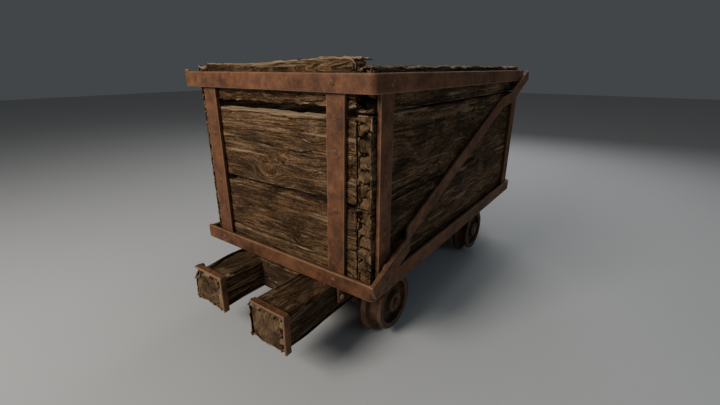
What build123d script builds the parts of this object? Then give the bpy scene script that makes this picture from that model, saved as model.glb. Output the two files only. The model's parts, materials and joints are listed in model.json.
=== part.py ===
from build123d import *
import os
from math import asin, atan, cos, sin

# A mine cart: a plank hopper held by two flat iron hoops, on two timber sole bars
# with two iron-wheeled axles. Millimetres, +Z up, front towards -Y. The origin is
# on the floor under the wheel flanges, midway between the axles.

# Layers of the body, outwards from the wood
iron_thickness = 13
plank_thickness = 52
wood_half_width = 384
wood_half_length = 687.5
body_middle = 63.5
hoop_half_width = wood_half_width + 2 * iron_thickness
hoop_half_length = wood_half_length + 2 * iron_thickness
hoop_corner_radius = 20

# Heights
base_height = 275
floor_thickness = 40
bottom_hoop_top = 329
top_hoop_bottom = 881
top_hoop_top = 933
wall_top = 954

# Lower and upper height of each plank, from the bottom up
plank_heights = {
    "front": [(base_height, 557), (560, 817), (840, 960)],
    "rear": [(base_height, 557), (560, 826), (832, 952)],
    "left": [(base_height, 556), (559, 826), (832, wall_top)],
    "right": [(base_height, 556), (559, 826), (832, wall_top)],
}
level_names = ["bottom", "middle", "top"]
# The split rim of the front wall: share of the half width, and height
broken_edge = [(0.96, 968), (0.75, 972), (0.3, 960)]
floor_board_count = 6
board_gap = 2
# Clearance left at the ends of planks, boards, tenons and screws
fit_gap = 1

# The lapped end of each hoop, past the front left corner: reach and extra height
hoop_laps = {"bottom_hoop": (9, 0), "top_hoop": (17, 8)}
lap_length = 60

# Vertical straps: place along the wall at the bottom and at the top
strap_width = 66
strap_inset = 2
strap_bottom = base_height + strap_inset
strap_top = top_hoop_top - strap_inset
strap_places = {
    "front_left": ("front", -311, -311),
    "front_right": ("front", 255, 271),
    "rear_left": ("rear", -286, -286),
    "rear_right": ("rear", 286, 286),
    "left_front": ("left", -567.5, -567.5),
    "left_rear": ("left", 710.5, 710.5),
    "right_front": ("right", -567.5, -567.5),
    "right_rear": ("right", 710.5, 710.5),
}

# Rivets: heights of the two that hold a hoop and of the two that hold only the strap
hoop_rivet_heights = [302, 908]
strap_rivet_heights = {"front": [537, 718], "rear": [478, 700], "left": [478, 657], "right": [478, 657]}
rivet_radius = 5
rivet_head_radius = 9
rivet_head_height = 5
rivet_hole_radius = 5.3
rove_radius = 13
rove_thickness = 3
rove_gap = 0.2
rivet_tail_radius = 8
rivet_tail_height = 2.5
rove_recess_radius = 14
rove_recess_depth = 6

# Diagonal brace on each side wall, from the top rear corner down to the bottom front.
# The right one runs out past the front corner, the left one stops on its strap.
brace_slope = 0.397
brace_upper_rear = (821, 934)
brace_front = {"left": -600, "right": -671}
brace_width = 51
brace_upper_joggle = (505, 555)
brace_lower_joggle = (-470, -420)
brace_wall_rivets = [-200, 250]
brace_strap_rivets = [-567.5, 710.5]
packer_radius = 16

# Under frame
bar_inner = 84
bar_outer = 242
bar_bottom = 145
bar_end = 862.5
left_bar_front_wear = 20
end_iron_thickness = 8
end_iron_width = 24
end_iron_inset = 13
timber_depth = 120
timber_places = [body_middle - 688.5, body_middle + 688.5]
timber_thickness = 66
tenon_length = 25
tenon_bottom = 180
tenon_height = 70
tenon_thickness = 36
bracket_places = {"front": body_middle - 668, "rear": body_middle + 668}
bracket_width = 28
bracket_thickness = 9
bracket_drop = 82
tie_rod_places = [-545, 545]
tie_rod_height = 215
tie_rod_radius = 8
tie_rod_reach = 24
tie_washer_radius = 20
tie_nut_radius = 14
tie_nut_thickness = 14

# Wheelsets
axle_places = {"front": -412, "rear": 412}
axle_height = 125.5
axle_radius = 22
running_clearance = 0.05
seat_radius = 20
axle_half_length = 360
flange_radius = 125.5
flange_inner = 279
flange_outer = 302
tread_radius = 94.5
lip_radius = 104
lip_inner = 339
wheel_outer = 352
hub_inner = 245
hub_outer = 356
hub_radius = 40
rim_inside_radius = 82
web_inner = 308
web_outer = 324
web_round = 14
hub_draft = 4
flange_round = 10
flange_bevel = 5
tread_round = 9
edge_round = 3
axle_chamfer = 2

# Bearing blocks, housed in notches under the sole bars
block_inner = 98
block_outer = 242
block_width = 84
block_rise = 38
ear_reach = 86
ear_thickness = 18
bush_outer_radius = 30
notch_clearance = 0.5
bearing_bolt_radius = 6
bearing_bolt_spacing_x = 80
bearing_bolt_spacing_y = 128
bolt_hole_clearance = 0.3
bolt_head_radius = 13
bolt_head_height = 6
bolt_recess_radius = 15
bolt_recess_depth = 9
washer_thickness = 3
nut_thickness = 10
nut_radius = 11
thread_end = 4

# Lag screws of the brackets
screw_radius = 5
screw_height = 215
under_wall_x = 358
screw_length = 42
screw_head_radius = 9
screw_head_height = 7

bar_middle = (bar_inner + bar_outer) / 2
block_middle = (block_inner + block_outer) / 2
ear_bottom = bar_bottom - ear_thickness
bolt_head_bottom = base_height - bolt_recess_depth
inside_half_width = wood_half_width - plank_thickness
inside_half_length = wood_half_length - plank_thickness
brace_tilt = atan(brace_slope)
max_reach = 2 * bar_end
sides = {"left": -1, "right": 1}

os.makedirs("parts", exist_ok=True)


def save(piece, name):
    piece.part.label = name
    export_step(piece.part, f"parts/{name}.step")


def upright_plane(origin, facing):
    """Plane whose y axis points up, facing along -Y or +X."""
    if facing == "-Y":
        return Plane(origin=origin, x_dir=(1, 0, 0), z_dir=(0, -1, 0))
    return Plane(origin=origin, x_dir=(0, 1, 0), z_dir=(1, 0, 0))


def wall_plane(wall, along, height, out=0):
    """Plane on a wall, `out` beyond the wood, facing out, with its x axis horizontal."""
    if wall in sides:
        side = sides[wall]
        origin = (side * (wood_half_width + out), along, height)
        return Plane(origin=origin, x_dir=(0, side, 0), z_dir=(side, 0, 0))
    side = -1 if wall == "front" else 1
    origin = (along, body_middle + side * (wood_half_length + out), height)
    return Plane(origin=origin, x_dir=(-side, 0, 0), z_dir=(0, side, 0))


def strap_middle(name, height):
    """Where a strap's middle line is along its wall at this height."""
    wall, low, high = strap_places[name]
    share = (height - strap_bottom) / (strap_top - strap_bottom)
    return low + (high - low) * share


def brace_middle(along):
    """Height of the brace's middle line at this place along the wall."""
    half_height = brace_width / 2 / cos(brace_tilt)
    return brace_upper_rear[1] - brace_slope * (brace_upper_rear[0] - along) - half_height


def wall_rivet_spots():
    """Wall, place, height and thickness of iron for every rivet in the walls."""
    spots = []
    for name, (wall, low, high) in strap_places.items():
        for height in hoop_rivet_heights:
            spots.append((wall, strap_middle(name, height), height, 2 * iron_thickness))
        for height in strap_rivet_heights[wall]:
            spots.append((wall, strap_middle(name, height), height, iron_thickness))
    return spots


def brace_rivet_spots():
    """The same for the rivets that hold the two braces."""
    spots = []
    for wall in sides:
        for along in brace_wall_rivets:
            spots.append((wall, along, brace_middle(along), iron_thickness))
        for along in brace_strap_rivets:
            spots.append((wall, along, brace_middle(along), 3 * iron_thickness))
    return spots


all_spots = wall_rivet_spots() + brace_rivet_spots()


def bracket_screw_planes(side, bracket_y):
    """Faces of one bracket under its two screw heads: beside the bar and below the wall."""
    beside = (side * (bar_outer + bracket_thickness), bracket_y, screw_height)
    below = (side * under_wall_x, bracket_y, base_height - bracket_thickness)
    return [Plane(origin=beside, z_dir=(side, 0, 0)), Plane(origin=below, z_dir=(0, 0, -1))]


def rivet_planes(wall, low, high, out, near=0, reach=max_reach):
    """Planes of the rivets that go through one stretch of a wall."""
    return [
        wall_plane(wall, along, height, out)
        for spot_wall, along, height, iron in all_spots
        if spot_wall == wall and low < height < high and abs(along - near) < reach
    ]


# Wall planks. Each is drilled for its rivets, with a recess inside for the rove.
for wall, levels in plank_heights.items():
    for level, (low, high) in zip(level_names, levels):
        half_run = wood_half_length if wall in sides else inside_half_width - fit_gap
        middle = body_middle if wall in sides else 0
        outline = [(-half_run, low), (half_run, low), (half_run, high), (-half_run, high)]
        if wall == "front" and level == "top":
            outline[3:3] = [(share * half_run, height) for share, height in broken_edge]
        with BuildPart() as plank:
            with BuildSketch(wall_plane(wall, middle, 0)):
                with BuildLine():
                    Polyline(*outline, close=True)
                make_face()
            extrude(amount=-plank_thickness)
            for plane in rivet_planes(wall, low, high, -plank_thickness):
                with Locations(Plane(plane.origin, plane.x_dir, -plane.z_dir)):
                    CounterBoreHole(
                        rivet_hole_radius, rove_recess_radius, rove_recess_depth, plank_thickness
                    )
            if wall in sides and level == "bottom":
                for along in bracket_places.values():
                    spot = (sides[wall] * under_wall_x, along, low)
                    with Locations(Plane(origin=spot, z_dir=(0, 0, -1))):
                        Hole(screw_radius, screw_length)
        save(plank, f"{wall}_{level}_plank")

# Floor boards, laid across the sole bars between the walls
board_pitch = 2 * inside_half_length / floor_board_count
for index in range(floor_board_count):
    board_y = body_middle - inside_half_length + (index + 0.5) * board_pitch
    with BuildPart() as board:
        with BuildSketch(Plane.XY.offset(base_height)):
            with Locations((0, board_y)):
                Rectangle(2 * (inside_half_width - fit_gap), board_pitch - board_gap)
        extrude(amount=floor_thickness)
    save(board, f"floor_board_{index + 1}")

# Hoops: flat iron bent round the body, outside the vertical straps
for name, low, high in [
    ("bottom_hoop", base_height, bottom_hoop_top),
    ("top_hoop", top_hoop_bottom, top_hoop_top),
]:
    with BuildPart() as hoop:
        with BuildSketch(Plane.XY.offset(low)):
            with Locations((0, body_middle)):
                RectangleRounded(2 * hoop_half_width, 2 * hoop_half_length, hoop_corner_radius)
                RectangleRounded(
                    2 * (hoop_half_width - iron_thickness),
                    2 * (hoop_half_length - iron_thickness),
                    hoop_corner_radius - iron_thickness,
                    mode=Mode.SUBTRACT,
                )
        extrude(amount=high - low)
        lap_reach, lap_rise = hoop_laps[name]
        lap_corner = wall_plane("front", -hoop_half_width - lap_reach, low, iron_thickness)
        with BuildSketch(lap_corner):
            Rectangle(lap_length, high - low, align=(Align.MIN, Align.MIN))
            Rectangle(lap_reach, high + lap_rise - low, align=(Align.MIN, Align.MIN))
        extrude(amount=iron_thickness)
        for wall in plank_heights:
            for plane in rivet_planes(wall, low, high, 2 * iron_thickness):
                with Locations(plane):
                    Hole(rivet_hole_radius, 2 * iron_thickness)
    save(hoop, name)

# Vertical straps, lying on the planks and under both hoops
for name, (wall, low_place, high_place) in strap_places.items():
    direction = wall_plane(wall, 0, 0).x_dir
    sign = direction.X + direction.Y
    half_width = strap_width / 2
    with BuildPart() as strap:
        with BuildSketch(wall_plane(wall, 0, 0)):
            with BuildLine():
                Polyline(
                    (sign * low_place - half_width, strap_bottom),
                    (sign * low_place + half_width, strap_bottom),
                    (sign * high_place + half_width, strap_top),
                    (sign * high_place - half_width, strap_top),
                    close=True,
                )
            make_face()
        extrude(amount=iron_thickness)
        for plane in rivet_planes(wall, strap_bottom, strap_top, iron_thickness, low_place, half_width):
            with Locations(plane):
                Hole(rivet_hole_radius, iron_thickness)
    save(strap, f"{name}_strap")

# Diagonal braces: bars joggled out at both ends to pass over the hoops
brace_steps = [
    (brace_upper_rear[0], 2),
    (brace_upper_joggle[1], 2),
    (brace_upper_joggle[0], 0),
    (brace_lower_joggle[1], 0),
    (brace_lower_joggle[0], 2),
]
for wall, side in sides.items():
    # The sketch runs along the brace, with its y axis towards -X
    brace_plane = Plane(
        origin=(side * wood_half_width, *brace_upper_rear),
        x_dir=(0, -1, -brace_slope),
        z_dir=(0, brace_slope, -1),
    )
    under = [
        ((brace_upper_rear[0] - along) / cos(brace_tilt), -side * layer * iron_thickness)
        for along, layer in brace_steps + [(brace_front[wall], 2)]
    ]
    over = [(run, rise - side * iron_thickness) for run, rise in under]
    with BuildPart() as brace:
        with BuildSketch(brace_plane):
            with BuildLine():
                Polyline(*under, *reversed(over), close=True)
            make_face()
        extrude(amount=brace_width)
        for spot_wall, along, height, iron in brace_rivet_spots():
            if spot_wall == wall:
                with Locations(wall_plane(wall, along, height, iron)):
                    Hole(rivet_hole_radius, 2 * iron_thickness)
    save(brace, f"{wall}_brace")

# Packers between the braces and the straps that they cross, one thickness of iron
with BuildPart() as brace_packers:
    for wall, along, height, iron in brace_rivet_spots():
        if iron > iron_thickness:
            with BuildSketch(wall_plane(wall, along, height, iron_thickness)):
                Circle(packer_radius)
                Circle(rivet_hole_radius, mode=Mode.SUBTRACT)
            extrude(amount=iron_thickness)
save(brace_packers, "brace_packers")


# Rivets: a domed head outside, the shank, and a clenched tail
rivet_solids = {}
dome_radius = (rivet_head_radius**2 + rivet_head_height**2) / (2 * rivet_head_height)
dome_turn = asin(rivet_head_radius / dome_radius) / 2
wood_grip = plank_thickness - rove_recess_depth + rove_thickness + rove_gap
for iron in (iron_thickness, 2 * iron_thickness, 3 * iron_thickness):
    grip = iron + wood_grip
    with BuildPart() as rivet:
        with BuildSketch(Plane.XZ):
            with BuildLine():
                Polyline(
                    (0, rivet_head_height),
                    (0, -grip - rivet_tail_height),
                    (rivet_tail_radius, -grip - rivet_tail_height),
                    (rivet_tail_radius, -grip),
                    (rivet_radius, -grip),
                    (rivet_radius, 0),
                    (rivet_head_radius, 0),
                )
                ThreePointArc(
                    (rivet_head_radius, 0),
                    (dome_radius * sin(dome_turn), rivet_head_height - dome_radius * (1 - cos(dome_turn))),
                    (0, rivet_head_height),
                )
            make_face()
        revolve(axis=Axis.Z)
    rivet_solids[iron] = rivet.part

# Each rivet's rove is let into the wood inside
for name, spots in [("wall_rivets", wall_rivet_spots()), ("brace_rivets", brace_rivet_spots())]:
    with BuildPart() as rivets:
        for wall, along, height, iron in spots:
            with Locations(wall_plane(wall, along, height, iron)):
                add(rivet_solids[iron])
            with BuildSketch(wall_plane(wall, along, height, rove_recess_depth - plank_thickness)):
                Circle(rove_radius)
                Circle(rivet_hole_radius, mode=Mode.SUBTRACT)
            extrude(amount=-rove_thickness)
    save(rivets, name)

# Where the bolts of each bearing block stand
bearing_bolt_spots = {
    (end, name): [
        (side * (block_middle + across * bearing_bolt_spacing_x), axle_y + along * bearing_bolt_spacing_y)
        for across in (-0.5, 0.5)
        for along in (-0.5, 0.5)
    ]
    for end, axle_y in axle_places.items()
    for name, side in sides.items()
}

# Sole bars, notched for the bearing blocks and mortised for the cross timbers
for name, side in sides.items():
    front_end = -bar_end + (left_bar_front_wear if name == "left" else 0)
    with BuildPart() as bar:
        with BuildSketch(Plane.XY.offset(bar_bottom)):
            with Locations((side * bar_middle, (front_end + bar_end) / 2)):
                Rectangle(bar_outer - bar_inner, bar_end - front_end)
        extrude(amount=base_height - bar_bottom)
        with BuildSketch(Plane.XY.offset(bar_bottom)):
            for axle_y in axle_places.values():
                with Locations((side * bar_middle, axle_y)):
                    Rectangle(bar_outer - bar_inner, block_width + 2 * notch_clearance)
        extrude(amount=axle_height + block_rise - bar_bottom, mode=Mode.SUBTRACT)
        for timber_y in timber_places:
            with BuildSketch(Plane.XY.offset(tenon_bottom)):
                with Locations((side * (bar_inner + tenon_length / 2), timber_y)):
                    Rectangle(tenon_length, tenon_thickness)
            extrude(amount=tenon_height, mode=Mode.SUBTRACT)
        for end in axle_places:
            for bolt_x, bolt_y in bearing_bolt_spots[end, name]:
                with Locations(Plane.XY.offset(base_height)):
                    with Locations((bolt_x, bolt_y)):
                        CounterBoreHole(
                            bearing_bolt_radius + bolt_hole_clearance, bolt_recess_radius, bolt_recess_depth
                        )
        for rod_y in tie_rod_places:
            with Locations(Plane(origin=(side * bar_outer, rod_y, tie_rod_height), z_dir=(side, 0, 0))):
                Hole(tie_rod_radius + bolt_hole_clearance, bar_outer - bar_inner)
        for bracket_y in bracket_places.values():
            with Locations(Plane(origin=(side * bar_outer, bracket_y, screw_height), z_dir=(side, 0, 0))):
                Hole(screw_radius, screw_length)
    save(bar, f"{name}_sole_bar")

# Irons folded over the top and down one side of the sole bars, flush with their ends.
# Seen from either end of the cart, the leg is on the right.
half_bar = (bar_outer - bar_inner) / 2
bar_depth = base_height - bar_bottom
for name, side in sides.items():
    for end, direction in [("front", -1), ("rear", 1)]:
        is_worn = name == "left" and end == "front"
        face_y = direction * (bar_end - (left_bar_front_wear if is_worn else 0))
        with BuildPart() as end_iron:
            with BuildSketch(upright_plane((side * bar_middle, face_y, bar_bottom), "-Y")):
                with BuildLine():
                    Polyline(
                        (direction * (half_bar - end_iron_inset), bar_depth),
                        (-direction * half_bar, bar_depth),
                        (-direction * half_bar, 0),
                        (-direction * (half_bar + end_iron_thickness), 0),
                        (-direction * (half_bar + end_iron_thickness), bar_depth + end_iron_thickness),
                        (direction * (half_bar - end_iron_inset), bar_depth + end_iron_thickness),
                        close=True,
                    )
                make_face()
            extrude(amount=direction * end_iron_width)
            upper_edges = end_iron.edges().filter_by(Axis.Y).group_by(Axis.Z)[-1]
            fillet(upper_edges, radius=end_iron_thickness - fit_gap)
        save(end_iron, f"{end}_{name}_end_iron")

# Cross timbers, tenoned into both sole bars
for name, timber_y in zip(["front", "rear"], timber_places):
    with BuildPart() as timber:
        with BuildSketch(Plane.XY.offset(base_height - timber_depth)):
            with Locations((0, timber_y)):
                Rectangle(2 * bar_inner, timber_thickness)
        extrude(amount=timber_depth)
        with BuildSketch(Plane.XY.offset(tenon_bottom)):
            with Locations((0, timber_y)):
                Rectangle(2 * (bar_inner + tenon_length) - fit_gap, tenon_thickness)
        extrude(amount=tenon_height)
    save(timber, f"{name}_cross_timber")

# Tie rods through both sole bars, with a washer and a nut at each end
with BuildPart() as tie_rods:
    for rod_y in tie_rod_places:
        middle = Plane(origin=(0, rod_y, tie_rod_height), z_dir=(1, 0, 0))
        with BuildSketch(middle):
            Circle(tie_rod_radius)
        extrude(amount=bar_outer + tie_rod_reach, both=True)
        for side in sides.values():
            outer_face = Plane(origin=(side * bar_outer, rod_y, tie_rod_height), z_dir=(side, 0, 0))
            with BuildSketch(outer_face):
                Circle(tie_washer_radius)
            extrude(amount=washer_thickness)
            with BuildSketch(outer_face.offset(washer_thickness)):
                RegularPolygon(tie_nut_radius, 6)
            extrude(amount=tie_nut_thickness)
save(tie_rods, "tie_rods")

# Angle brackets: down the side of a sole bar, and out under the side wall
for end, bracket_y in bracket_places.items():
    for name, side in sides.items():
        with BuildPart() as bracket:
            with BuildSketch(upright_plane((0, bracket_y, base_height), "-Y")):
                with BuildLine():
                    Polyline(
                        (side * bar_outer, 0),
                        (side * wood_half_width, 0),
                        (side * wood_half_width, -bracket_thickness),
                        (side * (bar_outer + bracket_thickness), -bracket_thickness),
                        (side * (bar_outer + bracket_thickness), -bracket_drop),
                        (side * bar_outer, -bracket_drop),
                        close=True,
                    )
                make_face()
            extrude(amount=bracket_width / 2, both=True)
            for screw_plane in bracket_screw_planes(side, bracket_y):
                with Locations(screw_plane):
                    Hole(screw_radius + bolt_hole_clearance, bracket_thickness)
        save(bracket, f"{end}_{name}_bracket")

# Lag screws of the brackets
with BuildPart() as bracket_screws:
    for bracket_y in bracket_places.values():
        for side in sides.values():
            for screw_plane in bracket_screw_planes(side, bracket_y):
                with BuildSketch(screw_plane):
                    Circle(screw_radius)
                extrude(amount=-(screw_length + bracket_thickness - 2 * fit_gap))
                with BuildSketch(screw_plane):
                    RegularPolygon(screw_head_radius, 6)
                extrude(amount=screw_head_height)
save(bracket_screws, "bracket_screws")

# Bearing blocks: a cast body in the notch, with ears against the sole bar
for end, axle_y in axle_places.items():
    for name, side in sides.items():
        with BuildPart() as block:
            with BuildSketch(upright_plane((side * block_middle, axle_y, axle_height), "+X")):
                Circle(block_width / 2)
                Rectangle(block_width, block_rise, align=(Align.CENTER, Align.MIN))
                with Locations((0, bar_bottom - axle_height)):
                    Rectangle(2 * ear_reach, ear_thickness, align=(Align.CENTER, Align.MAX))
                with Locations((0, block_rise)):
                    Rectangle(block_width, block_width, align=(Align.CENTER, Align.MIN), mode=Mode.SUBTRACT)
                Circle(bush_outer_radius, mode=Mode.SUBTRACT)
            extrude(amount=(block_outer - block_inner) / 2, both=True)
            with Locations(*[(x, y, ear_bottom) for x, y in bearing_bolt_spots[end, name]]):
                Hole(bearing_bolt_radius + bolt_hole_clearance, 2 * ear_thickness)
        save(block, f"{end}_{name}_bearing_block")

# Bushes, pressed into the bearing blocks
for end, axle_y in axle_places.items():
    with BuildPart() as bushes:
        for side in sides.values():
            with BuildSketch(Plane(origin=(side * block_inner, axle_y, axle_height), z_dir=(side, 0, 0))):
                Circle(bush_outer_radius)
                Circle(axle_radius + running_clearance, mode=Mode.SUBTRACT)
            extrude(amount=block_outer - block_inner)
    save(bushes, f"{end}_axle_bushes")

# Bolts that hold the blocks: head let into the top of the bar, nut under the ear
with BuildPart() as bearing_bolts:
    for spots in bearing_bolt_spots.values():
        with BuildSketch(Plane.XY.offset(bolt_head_bottom)):
            with Locations(*spots):
                Circle(bolt_head_radius)
        extrude(amount=bolt_head_height)
        with BuildSketch(Plane.XY.offset(bolt_head_bottom)):
            with Locations(*spots):
                Circle(bearing_bolt_radius)
        extrude(amount=ear_bottom - washer_thickness - nut_thickness - thread_end - bolt_head_bottom)
        with BuildSketch(Plane.XY.offset(ear_bottom)):
            with Locations(*spots):
                RegularPolygon(nut_radius, 6)
        extrude(amount=-washer_thickness - nut_thickness)
save(bearing_bolts, "bearing_bolts")

# Axles, with a smaller seat for each wheel
for end, axle_y in axle_places.items():
    with BuildPart() as axle:
        axle_line = Plane(origin=(0, axle_y, axle_height), z_dir=(1, 0, 0))
        with BuildSketch(axle_line):
            Circle(axle_radius)
        extrude(amount=hub_inner, both=True)
        with BuildSketch(axle_line):
            Circle(seat_radius)
        extrude(amount=axle_half_length, both=True)
        chamfer(axle.faces().filter_by(Plane.YZ).group_by(Axis.X)[0].edges(), length=axle_chamfer)
        chamfer(axle.faces().filter_by(Plane.YZ).group_by(Axis.X)[-1].edges(), length=axle_chamfer)
    save(axle, f"{end}_axle")

# Wheels: cast, with a deep flange inside the rail and a low lip outside it
for end, axle_y in axle_places.items():
    for name, side in sides.items():
        with BuildPart() as wheel:
            profile_plane = Plane(origin=(0, axle_y, axle_height), x_dir=(side, 0, 0), z_dir=(0, -side, 0))
            with BuildSketch(profile_plane):
                with BuildLine():
                    Polyline(
                        (hub_inner, seat_radius),
                        (hub_inner, hub_radius),
                        (web_inner - 2 * web_round, hub_radius + hub_draft),
                        (web_inner, hub_radius + web_round),
                        (web_inner, rim_inside_radius - web_round),
                        (web_inner - web_round, rim_inside_radius),
                        (flange_inner, rim_inside_radius + hub_draft),
                        (flange_inner, flange_radius - flange_bevel),
                        (flange_inner + flange_bevel, flange_radius),
                        (flange_outer - flange_round, flange_radius),
                    )
                    ThreePointArc(
                        (flange_outer - flange_round, flange_radius),
                        (flange_outer - edge_round, flange_radius - edge_round),
                        (flange_outer, flange_radius - flange_round),
                    )
                    Polyline(
                        (flange_outer, flange_radius - flange_round),
                        (flange_outer, tread_radius + tread_round),
                        (flange_outer + tread_round, tread_radius),
                        (lip_inner - tread_round, tread_radius),
                        (lip_inner, lip_radius),
                        (wheel_outer - edge_round, lip_radius),
                        (wheel_outer, lip_radius - edge_round),
                        (wheel_outer, rim_inside_radius),
                        (web_outer + edge_round, rim_inside_radius - edge_round),
                        (web_outer, rim_inside_radius - web_round),
                        (web_outer, hub_radius + web_round),
                        (web_outer + tread_round, hub_radius),
                        (hub_outer - edge_round, hub_radius - edge_round),
                        (hub_outer, hub_radius - 2 * edge_round),
                        (hub_outer, seat_radius),
                        (hub_inner, seat_radius),
                    )
                make_face()
            revolve(axis=Axis((0, axle_y, axle_height), (1, 0, 0)))
        save(wheel, f"{end}_{name}_wheel")
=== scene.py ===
import json
import math
from itertools import product
from types import SimpleNamespace

import bmesh
import bpy
import numpy as np
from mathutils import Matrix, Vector


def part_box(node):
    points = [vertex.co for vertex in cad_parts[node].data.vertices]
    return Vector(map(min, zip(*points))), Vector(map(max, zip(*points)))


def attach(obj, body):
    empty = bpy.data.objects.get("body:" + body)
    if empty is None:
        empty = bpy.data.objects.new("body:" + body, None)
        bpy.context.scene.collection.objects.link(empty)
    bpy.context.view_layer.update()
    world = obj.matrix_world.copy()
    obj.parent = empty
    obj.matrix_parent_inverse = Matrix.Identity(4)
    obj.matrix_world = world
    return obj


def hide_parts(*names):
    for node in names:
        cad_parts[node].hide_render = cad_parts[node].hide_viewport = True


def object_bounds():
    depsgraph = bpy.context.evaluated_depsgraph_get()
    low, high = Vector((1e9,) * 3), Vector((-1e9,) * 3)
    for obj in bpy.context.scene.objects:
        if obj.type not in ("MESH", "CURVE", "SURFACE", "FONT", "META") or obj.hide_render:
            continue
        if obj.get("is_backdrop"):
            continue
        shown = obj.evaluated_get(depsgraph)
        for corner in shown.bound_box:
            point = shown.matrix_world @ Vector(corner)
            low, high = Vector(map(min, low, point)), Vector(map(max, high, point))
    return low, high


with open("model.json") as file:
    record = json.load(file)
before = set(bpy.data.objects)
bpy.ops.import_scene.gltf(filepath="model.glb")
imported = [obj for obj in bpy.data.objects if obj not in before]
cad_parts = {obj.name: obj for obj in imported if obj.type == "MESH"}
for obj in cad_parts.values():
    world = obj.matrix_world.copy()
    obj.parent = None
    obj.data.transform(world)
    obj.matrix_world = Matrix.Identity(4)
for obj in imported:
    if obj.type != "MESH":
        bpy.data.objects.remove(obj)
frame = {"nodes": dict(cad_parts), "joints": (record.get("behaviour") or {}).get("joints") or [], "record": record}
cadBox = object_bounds()
print("frame loaded:", len(frame["nodes"]), "nodes")

mm = 0.001
bodies = frame["record"]["behaviour"]["bodies"]
bodyOf = {node: body for body, nodes in bodies.items() for node in nodes}
slotOf = {part["node"]: part["material_slot"] for part in frame["record"]["subparts"]}


def latticeNumbers(cells, seed):
    # a number from 0 to 1 for each whole-numbered cell, the same each run
    n = cells.astype(np.int64)
    mixed = n[:, 0] * 374761393 + n[:, 1] * 668265263 + n[:, 2] * 1442695041 + seed * 362437
    mixed = mixed & 0xFFFFFFFF
    mixed = ((mixed ^ (mixed >> 13)) * 1274126177) & 0xFFFFFFFF
    return ((mixed ^ (mixed >> 16)) & 0xFFFFFF) / 0xFFFFFF


def smoothNoise(points, seed):
    base = np.floor(points)
    blend = points - base
    blend = blend * blend * (3 - 2 * blend)
    total = np.zeros(len(points))
    for corner in product((0, 1), repeat=3):
        weight = np.prod(np.where(corner, blend, 1 - blend), axis=1)
        total += weight * latticeNumbers(base + corner, seed)
    return total


def layeredNoise(points, seed, layers=3):
    total = np.zeros(len(points))
    share = 1.0
    for layer in range(layers):
        total += share * (smoothNoise(points * 2**layer, seed + 17 * layer) - 0.5)
        share *= 0.5
    return total


def rise(value, low, high):
    # 0 up to low, 1 from high on, smooth between them
    t = np.clip((value - low) / (high - low), 0, 1)
    return t * t * (3 - 2 * t)


def between(value, start, end, fadeIn, fadeOut):
    # 1 from start to end, with a smooth fade inside each
    return rise(value, start, start + fadeIn) * (1 - rise(value, end - fadeOut, end))


class Value:
    # a shader socket that takes part in Python sums
    def __init__(self, tree, socket):
        self.tree = tree
        self.socket = socket

    def maths(self, operation, first, second):
        node = self.tree.nodes.new("ShaderNodeMath")
        node.operation = operation
        for index, value in enumerate((first, second)):
            plug(self.tree, value, node.inputs[index])
        return Value(self.tree, node.outputs[0])

    def __add__(self, other):
        return self.maths("ADD", self, other)

    def __radd__(self, other):
        return self.maths("ADD", other, self)

    def __sub__(self, other):
        return self.maths("SUBTRACT", self, other)

    def __rsub__(self, other):
        return self.maths("SUBTRACT", other, self)

    def __mul__(self, other):
        return self.maths("MULTIPLY", self, other)

    def __rmul__(self, other):
        return self.maths("MULTIPLY", other, self)


def plug(tree, value, socket):
    if isinstance(value, Value):
        tree.links.new(value.socket, socket)
    elif isinstance(value, tuple) and len(value) == 3 and socket.type == "RGBA":
        socket.default_value = (*value, 1)
    else:
        socket.default_value = value


class Shader:
    def __init__(self, name):
        self.material = bpy.data.materials.new(name)
        self.material.use_nodes = True
        self.tree = self.material.node_tree
        self.tree.nodes.clear()

    def node(self, kind, settings=None, inputs=None, output=0):
        made = self.tree.nodes.new("ShaderNode" + kind)
        for key, value in (settings or {}).items():
            if key == "stops":
                while len(made.color_ramp.elements) < len(value):
                    made.color_ramp.elements.new(0.5)
                for element, (place, colour) in zip(made.color_ramp.elements, value):
                    element.position = place
                    element.color = (*colour, 1)
            else:
                setattr(made, key, value)
        for key, value in (inputs or {}).items():
            plug(self.tree, value, made.inputs[key])
        return Value(self.tree, made.outputs[output])

    def mix(self, factor, first, second, blend="MIX"):
        settings = {"data_type": "RGBA", "blend_type": blend, "clamp_factor": True}
        return self.node("Mix", settings, {0: factor, 6: first, 7: second}, 2)

    def stretched(self, vector, scale):
        return self.node("VectorMath", {"operation": "MULTIPLY"}, {0: vector, 1: scale})

    def noise(self, vector, scale, detail=4.0, roughness=0.55, distortion=0.0):
        inputs = {"Vector": vector, "Scale": scale, "Detail": detail}
        inputs.update({"Roughness": roughness, "Distortion": distortion})
        return self.node("TexNoise", {"noise_dimensions": "3D"}, inputs, 0)

    def ramp(self, factor, stops):
        return self.node("ValToRGB", {"stops": stops}, {"Fac": factor}, 0)

    def step(self, value, low, high):
        inputs = {"Value": value, "From Min": low, "From Max": high}
        return self.node("MapRange", {"interpolation_type": "SMOOTHSTEP"}, inputs, 0)

    def finish(self, colour, roughness, height, strength, metallic=0.0, shine=0.5):
        bump = self.node("Bump", None, {"Height": height, "Strength": strength, "Distance": 0.002})
        inputs = {"Base Color": colour, "Roughness": roughness, "Metallic": metallic, "Normal": bump}
        inputs["Specular IOR Level"] = shine
        surface = self.node("BsdfPrincipled", None, inputs)
        made = self.tree.nodes.new("ShaderNodeOutputMaterial")
        self.tree.links.new(surface.socket, made.inputs["Surface"])
        return self.material


def grey(level):
    return (level, level, level)


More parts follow.
